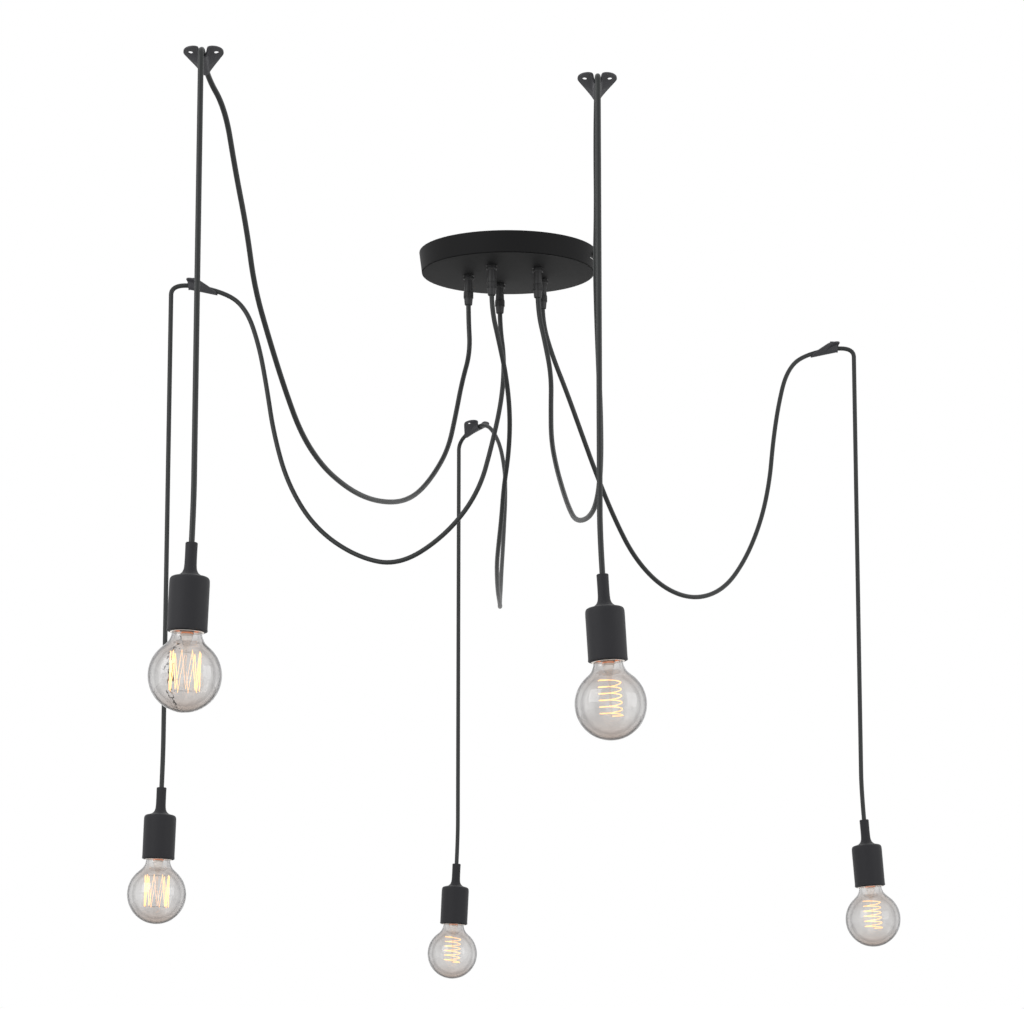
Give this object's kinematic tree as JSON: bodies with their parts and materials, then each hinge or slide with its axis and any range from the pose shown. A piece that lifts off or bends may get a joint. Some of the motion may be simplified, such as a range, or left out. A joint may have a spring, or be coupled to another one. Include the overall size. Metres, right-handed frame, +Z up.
{
  "type": "spider pendant light",
  "caption": "Spider pendant light: a round ceiling canopy feeds cords that swag over ceiling hooks and drop to lampholders with clear globe filament bulbs.",
  "frame": {"origin": "centre of the ceiling bracket's top face, where the canopy lies on the ceiling", "axes": "+Z up into the ceiling, +X to the right and +Y away from the viewer as the picture shows the light"},
  "size_m": [1.0884, 2.1762, 0.9103],
  "materials": {
    "canopy_paint": "matte black powder coat",
    "plated_steel": "zinc plated",
    "black_screw": "black oxide",
    "terminal_plastic": "moulded",
    "brass": "plain",
    "grip_plastic": "moulded",
    "hook_plastic": "black paint on pressed plate",
    "cord_rubber": "smooth satin sheath",
    "silicone": "matte silicone",
    "white_insulator": "glazed",
    "clear_glass": "clear",
    "filament_wire": "glowing wire"
  },
  "bodies": {
    "root": {"canopy_cover": "canopy_paint", "ceiling_bracket": "plated_steel", "side_screws": "black_screw", "terminal_block": "terminal_plastic", "terminal_screws": "brass", "grip_bodies": "grip_plastic", "grip_nuts": "grip_plastic", "grip_locknuts": "grip_plastic", "hook_1": "hook_plastic", "hook_2": "hook_plastic", "hook_3": "hook_plastic", "hook_4": "hook_plastic", "hook_5": "hook_plastic", "swag_cord_1": "cord_rubber", "swag_cord_2": "cord_rubber", "swag_cord_3": "cord_rubber", "swag_cord_4": "cord_rubber", "swag_cord_5": "cord_rubber"},
    "pendant_1": {"drop_cord_1": "cord_rubber", "holder_sleeve_1": "silicone", "holder_core_1": "white_insulator", "holder_contacts_1": "brass"},
    "bulb_carriage_1": {"cap_contact_1": "brass"},
    "bulb_1": {"bulb_cap_1": "brass", "bulb_glass_1": "clear_glass", "filament_1": "filament_wire"},
    "pendant_2": {"drop_cord_2": "cord_rubber", "holder_sleeve_2": "silicone", "holder_core_2": "white_insulator", "holder_contacts_2": "brass"},
    "bulb_carriage_2": {"cap_contact_2": "brass"},
    "bulb_2": {"bulb_cap_2": "brass", "bulb_glass_2": "clear_glass", "filament_2": "filament_wire"},
    "pendant_3": {"drop_cord_3": "cord_rubber", "holder_sleeve_3": "silicone", "holder_core_3": "white_insulator", "holder_contacts_3": "brass"},
    "bulb_carriage_3": {"cap_contact_3": "brass"},
    "bulb_3": {"bulb_cap_3": "brass", "bulb_glass_3": "clear_glass", "filament_3": "filament_wire"},
    "pendant_4": {"drop_cord_4": "cord_rubber", "holder_sleeve_4": "silicone", "holder_core_4": "white_insulator", "holder_contacts_4": "brass"},
    "bulb_carriage_4": {"cap_contact_4": "brass"},
    "bulb_4": {"bulb_cap_4": "brass", "bulb_glass_4": "clear_glass", "filament_4": "filament_wire"},
    "pendant_5": {"drop_cord_5": "cord_rubber", "holder_sleeve_5": "silicone", "holder_core_5": "white_insulator", "holder_contacts_5": "brass"},
    "bulb_carriage_5": {"cap_contact_5": "brass"},
    "bulb_5": {"bulb_cap_5": "brass", "bulb_glass_5": "clear_glass", "filament_5": "filament_wire"}
  },
  "joints": [
    {"name": "pendant_swing_1", "type": "hinge", "parent": "root", "child": "pendant_1", "pos_m": [-0.34, -0.903, -0.01071], "axis": [0, -0.9781, 0.2079], "range_deg": [-20, 20]},
    {"name": "bulb_feed_1", "type": "slide", "parent": "pendant_1", "child": "bulb_carriage_1", "axis": [-0.0349, 0, -0.9994], "range_m": [0, 0.018]},
    {"name": "bulb_turn_1", "type": "hinge", "parent": "bulb_carriage_1", "child": "bulb_1", "pos_m": [-0.3415, -0.946, -0.568], "axis": [-0.0349, 0, -0.9994], "range_deg": [0, 1800]},
    {"name": "pendant_swing_2", "type": "hinge", "parent": "root", "child": "pendant_2", "pos_m": [-0.428, 0.151, -0.01071], "axis": [-0.9781, 0, 0.2079], "range_deg": [-20, 20]},
    {"name": "bulb_feed_2", "type": "slide", "parent": "pendant_2", "child": "bulb_carriage_2", "axis": [-0.0297, 0, -0.9996], "range_m": [0, 0.018]},
    {"name": "bulb_turn_2", "type": "hinge", "parent": "bulb_carriage_2", "child": "bulb_2", "pos_m": [-0.47228, 0.151, -0.712], "axis": [-0.0297, 0, -0.9996], "range_deg": [0, 1800]},
    {"name": "pendant_swing_3", "type": "hinge", "parent": "root", "child": "pendant_3", "pos_m": [-0.058, 1.115, -0.01071], "axis": [-0.561, 0.8013, -0.2079], "range_deg": [-20, 20]},
    {"name": "bulb_feed_3", "type": "slide", "parent": "pendant_3", "child": "bulb_carriage_3", "axis": [-0.0454, 0, -0.999], "range_m": [0, 0.018]},
    {"name": "bulb_turn_3", "type": "hinge", "parent": "bulb_carriage_3", "child": "bulb_3", "pos_m": [-0.08462, 1.15022, -0.725], "axis": [-0.0454, 0, -0.999], "range_deg": [0, 1800]},
    {"name": "pendant_swing_4", "type": "hinge", "parent": "root", "child": "pendant_4", "pos_m": [0.103, -0.804, -0.01071], "axis": [0, -0.9781, 0.2079], "range_deg": [-20, 20]},
    {"name": "bulb_feed_4", "type": "slide", "parent": "pendant_4", "child": "bulb_carriage_4", "axis": [0.0593, 0, -0.9982], "range_m": [0, 0.018]},
    {"name": "bulb_turn_4", "type": "hinge", "parent": "bulb_carriage_4", "child": "bulb_4", "pos_m": [0.10555, -0.847, -0.586], "axis": [0.0593, 0, -0.9982], "range_deg": [0, 1800]},
    {"name": "pendant_swing_5", "type": "hinge", "parent": "root", "child": "pendant_5", "pos_m": [0.475, 0.54, -0.01071], "axis": [0.9781, 0, 0.2079], "range_deg": [-20, 20]},
    {"name": "bulb_feed_5", "type": "slide", "parent": "pendant_5", "child": "bulb_carriage_5", "axis": [0.0732, 0, -0.9973], "range_m": [0, 0.018]},
    {"name": "bulb_turn_5", "type": "hinge", "parent": "bulb_carriage_5", "child": "bulb_5", "pos_m": [0.52116, 0.54, -0.716], "axis": [0.0732, 0, -0.9973], "range_deg": [0, 1800]}
  ],
  "couplings": [
    {"joint": "bulb_feed_1", "follows": "bulb_turn_1", "m_per_rad": 0.00057296},
    {"joint": "bulb_feed_2", "follows": "bulb_turn_2", "m_per_rad": 0.00057296},
    {"joint": "bulb_feed_3", "follows": "bulb_turn_3", "m_per_rad": 0.00057296},
    {"joint": "bulb_feed_4", "follows": "bulb_turn_4", "m_per_rad": 0.00057296},
    {"joint": "bulb_feed_5", "follows": "bulb_turn_5", "m_per_rad": 0.00057296}
  ]
}
